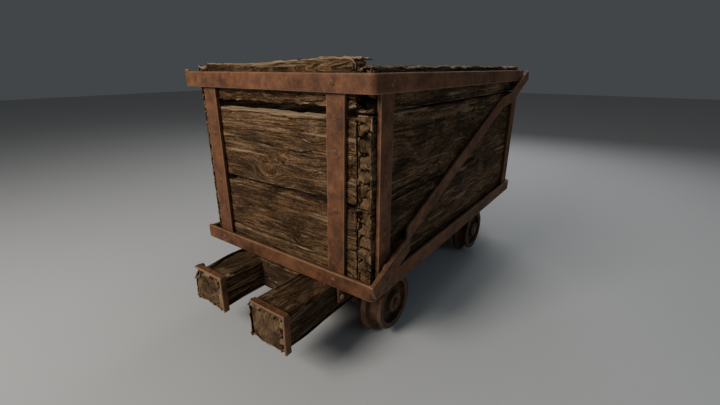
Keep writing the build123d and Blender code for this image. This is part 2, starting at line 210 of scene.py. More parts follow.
# wood: its grain runs along the first part of the "grain" attribute, in metres
woodLooks = {
    "plankWood": {
        "dark": (0.020, 0.010, 0.004),
        "mid": (0.112, 0.055, 0.023),
        "light": (0.28, 0.175, 0.092),
        "pale": (0.50, 0.355, 0.220),
        "greyShare": 0.22,
    },
    "floorWood": {
        "dark": (0.022, 0.012, 0.006),
        "mid": (0.095, 0.056, 0.030),
        "light": (0.25, 0.165, 0.092),
        "pale": (0.36, 0.255, 0.150),
        "greyShare": 0.45,
    },
    "barWood": {
        "dark": (0.018, 0.010, 0.004),
        "mid": (0.100, 0.053, 0.023),
        "light": (0.27, 0.172, 0.092),
        "pale": (0.46, 0.330, 0.200),
        "greyShare": 0.28,
    },
}


# noise cells per metre, along the grain and across it
woodGrain = {
    "knot": (2.2, 6.5, 6.5),
    "broad": (1.4, 9.0, 9.0),
    "streak": (7.0, 95.0, 95.0),
    "fibre": (22.0, 520.0, 520.0),
    "fleck": (26.0, 200.0, 200.0),
    "speck": (110.0, 300.0, 300.0),
    "crack": (2.6, 48.0, 48.0),
    "damp": (5.0, 13.0, 13.0),
    "saw": (10.0, 40.0, 700.0),
}
# how far each mark covers the wood under it
woodShares = {
    "fleck": 0.65,
    "pore": 0.7,
    "damp": 0.62,
    "knot": 0.75,
    "crack": 0.9,
    "crest": 0.5,
    "worn": 0.7,
    "dirt": 0.96,
}
woodStains = {
    "knot": (0.018, 0.009, 0.005),
    "crack": (0.006, 0.004, 0.002),
    "dirt": (0.005, 0.003, 0.002),
    "weathered": (0.105, 0.088, 0.062),
    "bleach": (1.05, 1.08, 1.10),
}
endRings = {"heart": (0.03, -0.04), "turnPerMetre": 1300.0, "waver": 9.0}


def endGrain(s, grain, look):
    # growth rings round a heart outside the piece, crossed by saw marks
    up = s.node("SeparateXYZ", None, {"Vector": grain}, 1)
    across = s.node("SeparateXYZ", None, {"Vector": grain}, 2)
    heartUp, heartAcross = endRings["heart"]
    flat = s.node("CombineXYZ", None, {"X": 0.0, "Y": up + heartUp, "Z": across + heartAcross})
    radius = s.node("VectorMath", {"operation": "LENGTH"}, {0: flat}, 1)
    waver = s.noise(grain, 30.0, 3.0)
    turn = radius * endRings["turnPerMetre"] + waver * endRings["waver"]
    rings = s.node("Math", {"operation": "SINE"}, {0: turn})
    saw = s.noise(s.stretched(grain, woodGrain["saw"]), 1.0, 3.0)
    tone = 0.52 + rings * 0.05 + (saw - 0.5) * 1.3 + (waver - 0.5) * 0.6
    return s.ramp(tone, [(0.2, look["dark"]), (0.42, look["mid"]), (0.68, look["light"])])


def makeWood(name, look):
    s = Shader(name)
    share = woodShares
    grain = s.node("Attribute", {"attribute_name": "grain"}, None, 1)
    hollow = s.node("Attribute", {"attribute_name": "hollow"}, None, 2)
    endFace = s.node("Attribute", {"attribute_name": "endFace"}, None, 2)
    worn = s.node("Attribute", {"attribute_name": "worn"}, None, 2)
    crest = s.node("NewGeometry", None, None, 7)
    # knots bend the grain round them
    knotPlace = s.stretched(grain, woodGrain["knot"])
    knots = s.node("TexVoronoi", {"feature": "F1"}, {"Vector": knotPlace, "Scale": 1.0}, 0)
    knotPull = 1 - s.step(knots, 0.05, 0.45)
    bend = s.node("CombineXYZ", None, {"X": 0.0, "Y": knotPull * 0.03, "Z": knotPull * 0.02})
    bent = s.node("VectorMath", {"operation": "ADD"}, {0: grain, 1: bend})
    broad = s.noise(s.stretched(bent, woodGrain["broad"]), 1.0, 4.0, 0.5, 0.3)
    streak = s.noise(s.stretched(bent, woodGrain["streak"]), 1.0, 8.0, 0.68, 0.35)
    fibre = s.noise(s.stretched(bent, woodGrain["fibre"]), 1.0, 4.0, 0.6, 0.2)
    speck = s.noise(s.stretched(grain, woodGrain["speck"]), 1.0, 4.0, 0.7)
    tone = streak * 0.66 + fibre * 0.36 + broad * 0.42 + speck * 0.45 - 0.445
    face = s.ramp(tone, [(0.38, look["dark"]), (0.50, look["mid"]), (0.63, look["light"])])
    # short pale flecks of lifted fibre, and dark pores between them
    fleck = s.noise(s.stretched(bent, woodGrain["fleck"]), 1.0, 5.0, 0.72, 0.9)
    face = s.mix(s.step(fleck, 0.54, 0.70) * share["fleck"], face, look["pale"])
    face = s.mix((1 - s.step(fleck, 0.30, 0.43)) * share["pore"], face, look["dark"])
    # hairline cracks follow the streaks
    line = s.noise(s.stretched(bent, woodGrain["crack"]), 1.0, 3.0, 0.5, 0.6)
    nearLine = s.node("Math", {"operation": "ABSOLUTE"}, {0: line - 0.5})
    crackMask = (1 - s.step(nearLine, 0.004, 0.020)) * s.step(broad, 0.42, 0.60)
    colour = s.mix(endFace, face, endGrain(s, grain, look))
    # weathered patches, and damp, darker clouds that break up the streaks
    weather = s.noise(grain, 7.0, 5.0, 0.6)
    bleached = s.mix(1.0, colour, woodStains["bleach"], "MULTIPLY")
    weathered = s.mix(0.5, bleached, woodStains["weathered"])
    colour = s.mix(s.step(weather, 0.42, 0.68) * look["greyShare"], colour, weathered)
    damp = s.noise(s.stretched(grain, woodGrain["damp"]), 1.0, 5.0, 0.65, 0.4)
    colour = s.mix((1 - s.step(damp, 0.38, 0.55)) * share["damp"], colour, look["dark"])
    colour = s.mix((1 - s.step(knots, 0.03, 0.16)) * share["knot"], colour, woodStains["knot"])
    colour = s.mix(crackMask * share["crack"], colour, woodStains["crack"])
    # worn crests are paler, and the worn marks also carry painted highlights on top rims and gap lips; hollows get
    # painted shade, near black
    colour = s.mix(s.step(crest, 0.505, 0.57) * share["crest"], colour, look["pale"])
    colour = s.mix(s.step(worn, 0.25, 0.9) * share["worn"], colour, look["pale"])
    colour = s.mix(s.step(hollow, 0.25, 0.95) * share["dirt"], colour, woodStains["dirt"])
    height = streak * 0.9 + fibre * 0.35 + fleck * 0.8 + speck * 0.5 - crackMask * 1.2
    roughness = 0.82 + (weather - 0.5) * 0.2
    return s.finish(colour, roughness, height, 1.0, shine=0.15)


ironLooks = {
    "strapIron": {
        "dark": (0.070, 0.027, 0.011),
        "mid": (0.170, 0.067, 0.027),
        "light": (0.27, 0.117, 0.051),
        "pits": 0.5,
    },
    "fixingIron": {
        "dark": (0.045, 0.018, 0.009),
        "mid": (0.130, 0.051, 0.022),
        "light": (0.24, 0.105, 0.047),
        "pits": 0.4,
    },
    "castIron": {
        "dark": (0.030, 0.015, 0.009),
        "mid": (0.088, 0.042, 0.021),
        "light": (0.19, 0.087, 0.042),
        "pits": 0.6,
    },
}


ironStains = {
    "scale": (0.34, 0.125, 0.040),
    "bare": (0.060, 0.030, 0.016),
    "pit": (0.020, 0.010, 0.006),
    "rubbed": (0.44, 0.27, 0.155),
}


def makeIron(name, look):
    s = Shader(name)
    place = s.node("TexCoord", None, None, 3)
    broad = s.noise(place, 5.0, 6.0, 0.6, 0.2)
    blotch = s.noise(place, 26.0, 6.0, 0.65, 0.3)
    speck = s.noise(place, 240.0, 3.0, 0.7)
    tone = broad * 0.50 + blotch * 0.62 + speck * 0.40 - 0.26
    colour = s.ramp(tone, [(0.36, look["dark"]), (0.50, look["mid"]), (0.66, look["light"])])
    # loose orange scale in patches, dark bare patches elsewhere
    patch = s.noise(place, 14.0, 5.0, 0.7, 0.6)
    colour = s.mix(s.step(patch, 0.58, 0.68) * 0.35, colour, ironStains["scale"])
    colour = s.mix((1 - s.step(patch, 0.30, 0.43)) * 0.6, colour, ironStains["bare"])
    pits = s.node("TexVoronoi", {"feature": "F1"}, {"Vector": place, "Scale": 150.0}, 0)
    pitMask = (1 - s.step(pits, 0.10, 0.32)) * s.step(blotch, 0.45, 0.60) * look["pits"]
    colour = s.mix(pitMask, colour, ironStains["pit"])
    # edges and crests are paler: rubbed wear, and a painted highlight along the edges
    crest = s.node("NewGeometry", None, None, 7)
    colour = s.mix(s.step(crest, 0.51, 0.58) * 0.75, colour, ironStains["rubbed"])
    roughness = 0.72 + (speck - 0.5) * 0.35 + pitMask * 0.1
    height = blotch * 0.8 + speck * 0.5 - pitMask * 1.0
    return s.finish(colour, roughness, height, 0.45, 0.12)


bronzeLook = {"dark": (0.10, 0.055, 0.020), "bright": (0.42, 0.26, 0.10)}
steelLook = {"dark": 0.10, "bright": 0.26, "rust": (0.12, 0.055, 0.030)}


def makeBronze(name):
    s = Shader(name)
    place = s.node("TexCoord", None, None, 3)
    smear = s.noise(place, 40.0, 5.0)
    colour = s.ramp(smear, [(0.35, bronzeLook["dark"]), (0.65, bronzeLook["bright"])])
    return s.finish(colour, 0.35 + smear * 0.3, smear, 0.15, 0.9)


def makeAxleSteel(name):
    s = Shader(name)
    place = s.node("TexCoord", None, None, 3)
    turned = s.noise(s.stretched(place, (500.0, 8.0, 8.0)), 1.0, 3.0)
    rust = s.noise(place, 30.0, 6.0, 0.65)
    steel = s.ramp(turned, [(0.3, grey(steelLook["dark"])), (0.7, grey(steelLook["bright"]))])
    colour = s.mix(s.step(rust, 0.38, 0.55), steel, steelLook["rust"])
    roughness = 0.40 + s.step(rust, 0.38, 0.6) * 0.4
    return s.finish(colour, roughness, rust * 0.5 + turned * 0.4, 0.25, 0.7)


materials = {
    "plank_wood": makeWood("plankWood", woodLooks["plankWood"]),
    "floor_wood": makeWood("floorWood", woodLooks["floorWood"]),
    "bar_wood": makeWood("barWood", woodLooks["barWood"]),
    "strap_iron": makeIron("strapIron", ironLooks["strapIron"]),
    "fixing_iron": makeIron("fixingIron", ironLooks["fixingIron"]),
    "cast_iron": makeIron("castIron", ironLooks["castIron"]),
    "bush_bronze": makeBronze("bushBronze"),
    "axle_steel": makeAxleSteel("axleSteel"),
}
for node, cadObject in frame["nodes"].items():
    for index in range(max(1, len(cadObject.material_slots))):
        if not cadObject.material_slots:
            cadObject.data.materials.append(materials[slotOf[node]])
        cadObject.material_slots[index].material = materials[slotOf[node]]
print("materials made:", len(materials))


def settle(piece, node):
    # gives a piece its finish and its body, and hides the CAD node that it stands in for
    piece.data.materials.clear()
    piece.data.materials.append(materials[slotOf[node]])
    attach(piece, bodyOf[node])
    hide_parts(node)


def addObject(name, mesh):
    made = bpy.data.objects.new(name, mesh)
    bpy.context.scene.collection.objects.link(made)
    return made


gridLook = {"edgeInsets": (1.5 * mm, 4.0 * mm), "closest": 0.9 * mm}


def gridLines(low, high, pitch, extra=()):
    # lines at an even pitch, with closer ones at both edges and any extra ones
    count = max(2, int(round((high - low) / pitch)))
    lines = list(np.linspace(low, high, count + 1))
    for inset in gridLook["edgeInsets"]:
        lines += [low + inset, high - inset]
    lines = sorted(lines + list(extra))
    kept = [lines[0]]
    for line in lines[1:]:
        if line - kept[-1] > gridLook["closest"]:
            kept.append(line)
    kept[-1] = high
    return np.array(kept)


def blockSides():
    # picks out each of the six sides of a block of grid points
    for axis, end in product(range(3), (0, -1)):
        cut = [slice(None)] * 3
        cut[axis] = end
        yield axis, end, tuple(cut)


def surfaceGrid(us, vs, ws):
    counts = (len(us), len(vs), len(ws))
    index = -np.ones(counts, int)
    onSkin = np.zeros(counts, bool)
    for axis, end, cut in blockSides():
        onSkin[cut] = True
    index[onSkin] = np.arange(onSkin.sum())
    quads = []
    for axis, end, cut in blockSides():
        sheet = index[cut]
        corners = [sheet[:-1, :-1], sheet[1:, :-1], sheet[1:, 1:], sheet[:-1, 1:]]
        # the sheet's own winding faces +axis for x and z, and -axis for y
        facesUp = (axis != 1) == (end == -1)
        corners = corners if facesUp else corners[::-1]
        quads.append(np.stack([c.ravel() for c in corners], axis=1))
    return np.argwhere(onSkin), np.concatenate(quads)


# sizes of a rough timber's marks; cells are noise cells per metre, along, up and across
timberLook = {
    "ridgeDepth": 2.6 * mm,
    "ridgeCells": (4.0, 85.0, 85.0),
    "waveDepth": 3.0 * mm,
    "waveCells": (1.6, 11.0, 11.0),
    "edgeWear": 3.5 * mm,
    "edgeReach": 5.0 * mm,
    "wearCells": (9.0, 60.0, 60.0),
    "crestCells": (12.0, 90.0, 90.0),
    "rubReach": 3.0 * mm,
    "ridgeRub": 0.62,
    "lipRub": 0.7,
    "crackCount": 6,
    "crackDepth": 11 * mm,
    "crackWidth": 2.6 * mm,
    "crackReach": (0.12, 0.55),
    "crackMargin": 8 * mm,
    "crackWander": 20 * mm,
    "crackFade": 60 * mm,
    "sideCracks": 0.75,
    "endStyle": "blocks",
    "endChip": 12 * mm,
    "edgeChip": 1.6,
    "chipReach": 9 * mm,
    "streakDepth": 2.2 * mm,
    "blockHeight": 42 * mm,
    "blockWidth": 66 * mm,
    "splitRows": 0.5,
    "pitchAlong": 6.5 * mm,
    "pitchAcross": 3.8 * mm,
    "pitchRatio": 1.15,
}


def timberSkin(node, along, k, extraLines):
    # the timber's CAD box as a skin of points, measured along, up and across it
    low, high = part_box(node)
    order = (along, 2, 1 - along)
    lows = np.array([low[axis] for axis in order])
    highs = np.array([high[axis] for axis in order])
    us = gridLines(lows[0], highs[0], k["pitchAlong"], extraLines)
    vs = gridLines(lows[1], highs[1], k["pitchAcross"])
    ws = gridLines(lows[2], highs[2], k["pitchAcross"] * k["pitchRatio"])
    cells, quads = surfaceGrid(us, vs, ws)
    counts = np.array([len(us), len(vs), len(ws)]) - 1
    points = np.stack([us[cells[:, 0]], vs[cells[:, 1]], ws[cells[:, 2]]], axis=1)
    outward = (cells == counts).astype(float) - (cells == 0)
    outward /= np.linalg.norm(outward, axis=1)[:, None]
    gaps = np.minimum(points - lows, highs - points)
    skin = SimpleNamespace(points=points, quads=quads, outward=outward, gaps=gaps)
    skin.order, skin.lows, skin.highs = order, lows, highs
    skin.edgeGap = np.sort(gaps, axis=1)[:, 1]
    skin.isEnd = gaps[:, 0] < 1e-6
    return skin


def seamsBetween(lines, low, high):
    # 1 on the joints between cells, falling to 0 inside them
    return 1 - rise(np.abs(lines - np.round(lines)), low, high)


def blockyEnd(points, k, seed):
    # a face broken into rough blocks: how deep each point lies, and how dark, with painted shade in the joints and
    # the deeper chips
    zero = np.zeros(len(points))
    row = np.stack([zero, points[:, 1] * 9.0, points[:, 2] * 34.0], axis=1)
    rows = points[:, 1] / k["blockHeight"] + 0.75 * layeredNoise(row, seed + 3, 3)
    column = np.stack([np.round(rows - 0.5) * 3.1, points[:, 1] * 30.0, zero], axis=1)
    columns = points[:, 2] / k["blockWidth"] + 0.9 * layeredNoise(column, seed + 4, 2)
    cells = np.stack([np.floor(rows), np.floor(columns), zero], axis=1)
    rowOnly = cells * (1, 0, 0)
    isSplit = latticeNumbers(rowOnly, seed + 43) > k["splitRows"]
    split = seamsBetween(columns, 0.03, 0.11) * isSplit
    joint = np.maximum(seamsBetween(rows, 0.03, 0.15), split)
    chipped = latticeNumbers(np.where(isSplit[:, None], cells, rowOnly), seed + 41)
    depth = k["endChip"] * (0.8 * chipped**2 + 1.1 * joint)
    return depth, np.clip(joint + 0.25 * chipped**3, 0, 1)


def streakedEnd(points, gaps, k, seed):
    # a sawn end with fine upright streaks, and chips out of its edges
    streaks = layeredNoise(points * (0.0, 16.0, 210.0), seed, 3)
    chipNoise = smoothNoise(points * (0.0, 34.0, 50.0), seed + 6)
    span = gaps[:, 1:].min(axis=1)
    chips = rise(chipNoise, 0.42, 0.75) * np.exp(-span / k["chipReach"])
    depth = k["streakDepth"] * (streaks + 0.5) + k["endChip"] * k["edgeChip"] * chips
    # the darkness follows the depth: painted shade in the chips and the deeper streaks
    return depth, np.clip(1.1 * chips + 0.7 * rise(streaks, 0.25, 0.55), 0, 1)


def splitsAlong(skin, k, rng, seed):
    # splits along the grain, each on one face: 1 in the middle of a split, 0 off it
    points, lows, highs = skin.points, skin.lows, skin.highs
    cracks = np.zeros(len(points))
    for crack in range(k["crackCount"]):
        faceAxis = 2 if rng.random() < k["sideCracks"] else 1
        crossAxis = 3 - faceAxis
        faceEnd = highs if rng.random() < 0.5 else lows
        onFace = np.abs(points[:, faceAxis] - faceEnd[faceAxis]) < 1e-6
        margin = k["crackMargin"]
        middle = rng.uniform(lows[crossAxis] + margin, highs[crossAxis] - margin)
        start = rng.uniform(lows[0] - 0.05, highs[0])
        length = rng.uniform(*k["crackReach"])
        if rng.random() < 0.5:  # half of them run out at an end
            start = lows[0] - 0.02 if rng.random() < 0.5 else highs[0] + 0.02 - length
        row = np.full(len(points), crack * 3.7)
        wander = np.stack([points[:, 0] * 7.0, row, np.zeros(len(points))], axis=1)
        line = middle + (smoothNoise(wander, seed + 31) - 0.5) * k["crackWander"]
        distance = np.abs(points[:, crossAxis] - line)
        window = between(points[:, 0], start, start + length, k["crackFade"], k["crackFade"])
        width = k["crackWidth"] * rng.uniform(0.7, 1.5)
        share = np.exp(-((distance / width) ** 2)) * window * onFace
        cracks = np.maximum(cracks, share * rng.uniform(0.6, 1.0))
    return cracks


def biteEnd(skin, moved, hollow, bite, seed):
    # a piece broken out of the near end, right across the timber
    lowest, highest, deep = bite
    points = skin.points
    ragged = layeredNoise(points * (0.0, 26.0, 34.0), seed + 8, 3)
    inside = points[:, 1] + 16 * mm * ragged
    bitten = between(inside, lowest - 2 * mm, highest + 2 * mm, 2 * mm, 2 * mm)
    uneven = layeredNoise(points * (0.0, 60.0, 60.0), seed + 9, 2)
    floorOfBite = skin.lows[0] + deep * (1 + 0.6 * uneven)
    bitten = bitten * (points[:, 0] < floorOfBite)
    moved[:, 0] += bitten * (floorOfBite - moved[:, 0])
    # the bitten-out gap joins the hollows, for painted shade in it
    return np.maximum(hollow, bitten)


def wearAndPaintedHighlights(skin, k, ridges, cracks, crestNoise):
    # where the wood is painted pale: rubbed edges, ridges and lips of splits, and painted highlights along top
    # rims and on the lips under open gaps
    points, top = skin.points, skin.highs[1]
    worn = np.exp(-skin.edgeGap / k["rubReach"]) * rise(crestNoise, 0.30, 0.65)
    worn = np.maximum(worn, k["ridgeRub"] * rise(-ridges, 0.22, 0.45))
    lips = rise(cracks, 0.03, 0.15) * (1 - rise(cracks, 0.2, 0.4))
    worn = np.maximum(worn, k["lipRub"] * lips)
    # painted highlight along the top of a top plank, where light catches the rim
    if k.get("paleRim"):
        rim = rise(points[:, 1], top - 9 * mm, top - 3 * mm)
        worn = np.maximum(worn, rim * rise(crestNoise, 0.15, 0.45))
    worn = worn * ~skin.isEnd
    # painted highlight on the lip under an open gap
    for first, last in k.get("paleLips", []):
        lip = rise(points[:, 1], top - 12 * mm, top - 5 * mm)
        worn = np.maximum(worn, lip * between(points[:, 0], first, last, 20 * mm, 50 * mm))
    return worn


def finishMesh(name, node, places, faces, fibres, numbers):
    # a smooth wooden piece, with its grain and its marks as attributes
    mesh = bpy.data.meshes.new(name)
    mesh.from_pydata(places.tolist(), [], faces)
    grain = mesh.attributes.new("grain", "FLOAT_VECTOR", "POINT")
    grain.data.foreach_set("vector", fibres.astype(np.float32).ravel())
    for label, values in numbers.items():
        layer = mesh.attributes.new(label, "FLOAT", "POINT")
        layer.data.foreach_set("value", values.astype(np.float32))
    mesh.polygons.foreach_set("use_smooth", [True] * len(mesh.polygons))
    mesh.update()
    settle(addObject(name, mesh), node)


def roughTimber(name, node, along, seed, lowEdge=None, highEdge=None, extraLines=(), look=None):
    k = {**timberLook, **(look or {})}
    skin = timberSkin(node, along, k, extraLines)
    points, lows, highs, isEnd = skin.points, skin.lows, skin.highs, skin.isEnd
    seeded = points + np.array([0.37, 0.11, 0.23]) * seed
    # long-grain ridges, a slow warp of the whole surface, and worn edges
    ridges = layeredNoise(seeded * k["ridgeCells"], seed, 3)
    waves = layeredNoise(seeded * k["waveCells"], seed + 5, 2)
    depth = k["ridgeDepth"] * (ridges + 0.5) + k["waveDepth"] * (waves + 0.5)
    wearNoise = smoothNoise(seeded * k["wearCells"], seed + 9)
    depth += k["edgeWear"] * (0.3 + 1.3 * wearNoise) * np.exp(-skin.edgeGap / k["edgeReach"])
    rng = np.random.default_rng(seed)
    cracks = splitsAlong(skin, k, rng, seed)
    depth += k["crackDepth"] * cracks
    if k["endStyle"] == "blocks":
        endDepth, endShade = blockyEnd(seeded, k, seed)
    else:
        endDepth, endShade = streakedEnd(seeded, skin.gaps, k, seed)
    if "extraWear" in k:
        depth += k["extraWear"](points, lows, highs)
    depth = np.where(isEnd, depth * 0.5 + endDepth, depth)
    moved = points - skin.outward * depth[:, None]
    # hollows that the finish paints near black: painted shade in splits, end-grain joints and chips
    hollow = np.where(isEnd, endShade, np.clip(cracks * 1.3, 0, 1))
    for bite in k.get("bites", []):
        hollow = biteEnd(skin, moved, hollow, bite, seed)
    crestNoise = smoothNoise(seeded * k["crestCells"], seed + 12)
    worn = wearAndPaintedHighlights(skin, k, ridges, cracks, crestNoise)
    # jagged or broken long edges
    share = (points[:, 1] - lows[1]) / (highs[1] - lows[1])
    if lowEdge is not None:
        moved[:, 1] += lowEdge(points[:, 0], points[:, 2]) * (1 - rise(share, 0.0, 0.55))
    if highEdge is not None:
        moved[:, 1] += highEdge(points[:, 0], points[:, 2]) * rise(share, 0.45, 1.0)
    places = np.zeros_like(moved)
    for column, axis in enumerate(skin.order):
        places[:, axis] = moved[:, column]
    quads = skin.quads[:, ::-1] if along == 1 else skin.quads
    fibres = moved + rng.uniform(-5, 5, 3)
    if "fibreLean" in k:
        fibres[:, 1] -= k["fibreLean"](moved[:, 0], moved[:, 1])
    for middle, height, radius in k.get("knots", []):
        reach = np.hypot((moved[:, 0] - middle) / 1.7, moved[:, 1] - height) / radius
        fibres[:, 1] += 1.1 * radius * np.exp(-(reach**2))
    numbers = {"hollow": hollow, "endFace": isEnd.astype(float), "worn": worn}
    finishMesh(name, node, places, quads.tolist(), fibres, numbers)


def jagged(size, seed, start=None, end=None, lift=0.0):
    # an uneven edge: bites of about this size between two places along the grain;
    # u runs along the grain and w across it
    def edge(u, w):
        row = np.stack([u * 14.0, w * 30.0, np.zeros(len(u))], axis=1)
        bite = size * 2.0 * np.abs(layeredNoise(row, seed, 3))
        if start is not None:
            bite = bite * between(u, start, end, 20 * mm, 20 * mm)
        return lift + bite
    return edge


wallNames = ["front", "rear", "left", "right"]
levelNames = ["bottom", "middle", "top"]
# the front wall's rim: its usual height, and the split piece that stands above it
brokenRim = {
    "peak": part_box("front_top_plank")[1].z,
    "usualTop": 960 * mm,
    "raisedFrom": -0.05,
    "raisedFull": 0.20,
    "raisedTo": 0.325,
    "breakRun": 12 * mm,
    "splinter": 9 * mm,
}


def brokenTop(u, w):
    # the CAD top is the split piece's peak; elsewhere the rim drops to its usual height
    k = brokenRim
    drop = k["usualTop"] - k["peak"]
    raised = np.clip((u - k["raisedFrom"]) / (k["raisedFull"] - k["raisedFrom"]), 0, 1)
    raised = raised * (1 - rise(u, k["raisedTo"] - k["breakRun"], k["raisedTo"]))
    row = np.stack([u * 24.0, w * 120.0, np.zeros(len(u))], axis=1)
    splinters = k["splinter"] * layeredNoise(row, 71, 3)
    return drop * (1 - raised) + splinters * (0.35 + 0.5 * raised) + 1 * mm


def leaningFibres(u, height):
    # the split piece's fibres climb towards its broken end
    return 0.16 * np.clip(u + 0.12, 0, 1) * rise(height, 0.925, 0.945)


# uneven plank edges: (size, seed, start, end, lift), start and end along the wall
seamWear = {
    "right_top_plank": {"low": (9 * mm, 23, -0.54, -0.27, -2 * mm)},
    "front_bottom_plank": {"high": (-10 * mm, 5, None, None, -4 * mm)},
    "front_middle_plank": {"low": (5 * mm, 6, None, None, 1 * mm), "high": (-4 * mm, 8, None, None, 0)},
    "right_middle_plank": {"high": (-3 * mm, 12, -0.53, -0.29, 1 * mm)},
}
# knots: place along the wall, height, radius
plankKnots = {
    "front_middle_plank": [(-0.06, 0.588, 42 * mm), (0.17, 0.745, 20 * mm)],
    "front_bottom_plank": [(0.10, 0.375, 24 * mm)],
    "right_middle_plank": [(-0.30, 0.655, 30 * mm), (0.35, 0.74, 24 * mm)],
    "right_bottom_plank": [(0.05, 0.47, 28 * mm)],
    "left_middle_plank": [(0.22, 0.66, 30 * mm)],
    "rear_middle_plank": [(0.08, 0.70, 28 * mm)],
}
# painted highlight on the lips under the open gaps, where light catches them: first and last place along the wall
paleLips = {"right_middle_plank": [(-0.53, -0.27)], "front_middle_plank": [(-0.31, 0.24)]}
# pieces out of a plank's near end, with painted shade in the gap: lowest, highest, how deep
endBites = {"right_top_plank": [(844 * mm, 874 * mm, 30 * mm)]}


def plankEdges(node, level, seed):
    wear = seamWear.get(node, {})
    lowEdge = jagged(*wear.get("low", (2.5 * mm, seed + 1, None, None, -2.5 * mm)))
    highEdge = jagged(*wear.get("high", (-2.5 * mm, seed + 2, None, None, 2.5 * mm)))
    if node == "front_top_plank":
        return jagged(15 * mm, 77, lift=-4 * mm), brokenTop
    if level == "top":
        highEdge = jagged(-9 * mm, seed + 2, lift=1 * mm)
    return lowEdge, highEdge


seed = 3
seedStep = 7
for wall, level in product(wallNames, levelNames):
    along = 0 if wall in ("front", "rear") else 1
    node = f"{wall}_{level}_plank"
    look = {"knots": plankKnots.get(node, []), "paleRim": level == "top"}
    look["paleLips"] = paleLips.get(node, [])
    look["bites"] = endBites.get(node, [])
    if node == "front_top_plank":
        look["fibreLean"] = leaningFibres
    lowEdge, highEdge = plankEdges(node, level, seed)
    name = f"{wall}{level.capitalize()}Plank"
    roughTimber(name, node, along, seed, lowEdge, highEdge, look=look)
    seed += seedStep


splinterGrid = {"rings": 46, "sides": 10, "thinStart": 0.10, "swellBy": 0.55}


def splinter(name, node, start, end, sizes, seed):
    # a long torn fibre bundle, thin at its start and broken off at its end
    rings, sides = splinterGrid["rings"], splinterGrid["sides"]
    t = np.linspace(0, 1, rings)
    turn = np.linspace(0, 2 * np.pi, sides, endpoint=False)
    swell = np.clip(t / splinterGrid["swellBy"], 0, 1) ** 0.7 * (1 - 0.35 * rise(t, 0.8, 1.0))
    swell = splinterGrid["thinStart"] + (1 - splinterGrid["thinStart"]) * swell
    middle = np.array(start) + (np.array(end) - np.array(start)) * t[:, None]
    around = [np.tile(np.cos(turn) * 1.7, rings), np.tile(np.sin(turn) * 1.7, rings)]
    rows = np.stack([np.repeat(t * 9, sides), *around], axis=1)
    uneven = (1 + 1.1 * layeredNoise(rows + seed, seed, 3)).reshape(rings, sides)
    points = np.repeat(middle[:, None, :], sides, axis=1)
    points[:, :, 1] += sizes[0] * swell[:, None] * uneven * np.cos(turn)
    points[:, :, 2] += sizes[1] * swell[:, None] * uneven * np.sin(turn)
    torn = layeredNoise(np.stack([turn * 3, turn * 0, turn * 0 + seed], axis=1), seed + 5, 2)
    points[-1, :, 0] += 20 * mm * torn
    points[-2, :, 0] += 8 * mm * torn
    ends = np.stack([points[0].mean(axis=0), points[-1].mean(axis=0) - (6 * mm, 0, 0)])
    places = np.concatenate([points.reshape(-1, 3), ends])
    first = rings * sides
    faces = []
    for ring, side in product(range(rings - 1), range(sides)):
        a, b = ring * sides + side, ring * sides + (side + 1) % sides
        faces.append((a, b, b + sides, a + sides))
    for side in range(sides):
        after = (side + 1) % sides
        faces.append((first, after, side))
        faces.append((first + 1, first - sides + side, first - sides + after))
    slope = (end[2] - start[2]) / (end[0] - start[0])
    climb = places[:, 2] - slope * places[:, 0]
    fibres = np.stack([places[:, 0], climb, places[:, 1]], axis=1) + seed * 0.7
    # painted highlight on the upper side of the splinter; the middle of its torn end is darkened through the
    # hollow mark
    crest = np.append(np.tile(0.75 * (np.sin(turn) > 0.5), rings), [0, 0])
    hollow = np.append(np.zeros(first), [0, 1])
    finishMesh(name, node, places, faces, fibres, {"worn": crest, "hollow": hollow})


# start, end and half sizes of each splinter on the front rim
splinters = [
    ((-0.06, -0.618, 0.957), (0.300, -0.616, 0.968), (6 * mm, 5.5 * mm)),
    ((0.02, -0.606, 0.956), (0.335, -0.603, 0.969), (6 * mm, 5.5 * mm)),
    ((0.10, -0.594, 0.956), (0.349, -0.590, 0.967), (6 * mm, 5.0 * mm)),
    ((-0.12, -0.600, 0.957), (0.230, -0.596, 0.967), (5 * mm, 4.0 * mm)),
    ((0.16, -0.612, 0.957), (0.322, -0.612, 0.963), (7 * mm, 6.0 * mm)),
]
for index, (start, end, sizes) in enumerate(splinters):
    splinter(f"rimSplinter{index + 1}", "front_top_plank", start, end, sizes, 11 + index)
floorBoards = sorted(node for node in frame["nodes"] if node.startswith("floor_board_"))
for index, node in enumerate(floorBoards):
    look = {"pitchAlong": 9 * mm, "pitchAcross": 6 * mm, "crackCount": 3}
    roughTimber(f"floorBoard{index + 1}", node, 0, seed, look=look)
    seed += seedStep


bodyMiddle = (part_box("front_bottom_plank")[0].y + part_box("rear_bottom_plank")[1].y) / 2
# hollows start clear of the body; the corner is worn for this far from the bar's end
barWear = {
    "hollowDepth": 13 * mm,
    "hollowReach": 14 * mm,
    "clearFrom": (0.62, 0.66),
    "cornerDepth": 17 * mm,
    "cornerReach": 35 * mm,
    "cornerRun": (0.03, 0.26),
}
# half length of the notch over a bearing block, and the step at its ends
barNotch = {"half": 42.5 * mm, "step": 1 * mm}


def hollowedBarTop(points, lows, highs):
    # shallow hollows along the top, clear of the body
    near = np.exp(-(highs[1] - points[:, 1]) / barWear["hollowReach"])
    dips = rise(smoothNoise(points * (7.0, 40.0, 22.0), 91), 0.50, 0.85)
    clear = rise(np.abs(points[:, 0] - bodyMiddle), *barWear["clearFrom"])
    return barWear["hollowDepth"] * dips * near * clear


def wornBarTop(points, lows, highs):
    # the same, and the outer top edge worn down towards the front end
    corner = np.hypot(highs[1] - points[:, 1], points[:, 2] - lows[2])
    runStart, runEnd = barWear["cornerRun"]
    toFront = 1 - rise(points[:, 0], lows[0] + runStart, lows[0] + runEnd)
    worn = barWear["cornerDepth"] * np.exp(-((corner / barWear["cornerReach"]) ** 2)) * toFront
    return hollowedBarTop(points, lows, highs) + worn


